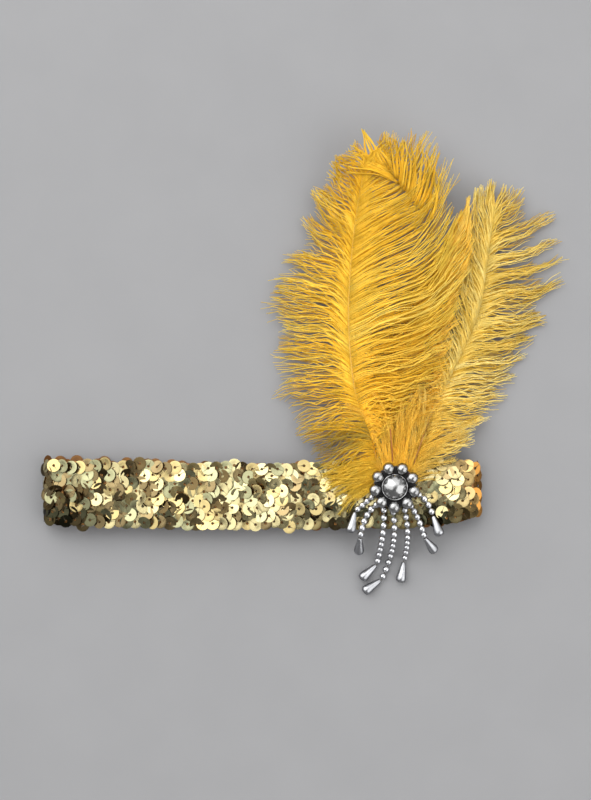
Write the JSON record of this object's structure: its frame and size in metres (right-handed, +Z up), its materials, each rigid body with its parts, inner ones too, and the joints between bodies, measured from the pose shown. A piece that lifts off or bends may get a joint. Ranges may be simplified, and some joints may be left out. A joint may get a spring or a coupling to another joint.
{
  "type": "sequin headband with feather plume",
  "caption": "Elastic headband covered in gold sequins, pressed flat, with a gold ostrich plume held under a rosette of silver beads whose strings end in drops.",
  "frame": {"origin": "middle of the flattened loop's underside, on the surface that it lies on", "axes": "+X along the flattened loop towards the rosette, +Y towards the feather tips, +Z up from the surface"},
  "size_m": [0.2291, 0.2032, 0.0203],
  "materials": {
    "sequins": "metallised gold sequins on elastic",
    "elastic": "knitted elastic backing",
    "felt": "matte black felt",
    "silver": "silver-coated beads",
    "feather": "dyed ostrich barbs"
  },
  "bodies": {
    "root": {"sequin_band": "sequins", "felt_backing": "felt", "centre_cabochon": "silver", "ring_bead_1": "silver", "ring_bead_2": "silver", "ring_bead_3": "silver", "ring_bead_4": "silver", "ring_bead_5": "silver", "ring_bead_6": "silver", "ring_bead_7": "silver", "ring_bead_8": "silver", "ring_bead_9": "silver", "bead_string_1": "silver", "bead_string_2": "silver", "bead_string_3": "silver", "bead_string_4": "silver", "bead_string_5": "silver", "bead_string_6": "silver", "bead_string_7": "silver", "drop_bead_1": "silver", "drop_bead_2": "silver", "drop_bead_3": "silver", "drop_bead_4": "silver", "drop_bead_5": "silver", "drop_bead_6": "silver", "drop_bead_7": "silver", "feather_right": "feather", "feather_middle": "feather", "feather_left": "feather"}
  },
  "joints": []
}
